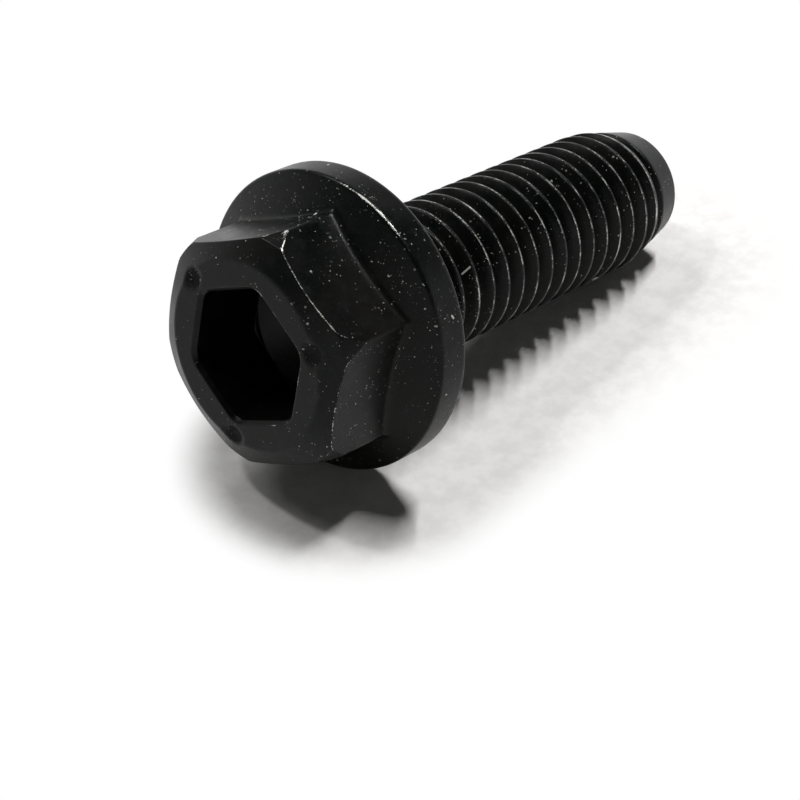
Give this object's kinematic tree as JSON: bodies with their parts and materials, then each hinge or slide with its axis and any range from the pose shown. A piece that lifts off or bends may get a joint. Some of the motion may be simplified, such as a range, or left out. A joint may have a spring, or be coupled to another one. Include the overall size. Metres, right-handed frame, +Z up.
{
  "type": "flange bolt",
  "caption": "Hexagon flange bolt with a coarse metric thread, and a hexagon socket and small dimples in its head; clamps parts together under its flange.",
  "frame": {"origin": "on the level surface that the bolt lies on, below the middle of its length", "axes": "+X level along the bolt, from its threaded end towards its head; +Z up. The bolt rests on the rim of its flange and on its thread, so its own axis rises by 10.4 degrees towards the head."},
  "size_m": [0.04, 0.0192, 0.0193],
  "materials": {
    "black_oxide_steel": "satin near-black oxide on forged and rolled steel, with pale dust in its recesses"
  },
  "bodies": {
    "root": {"flange_bolt": "black_oxide_steel"}
  },
  "joints": []
}
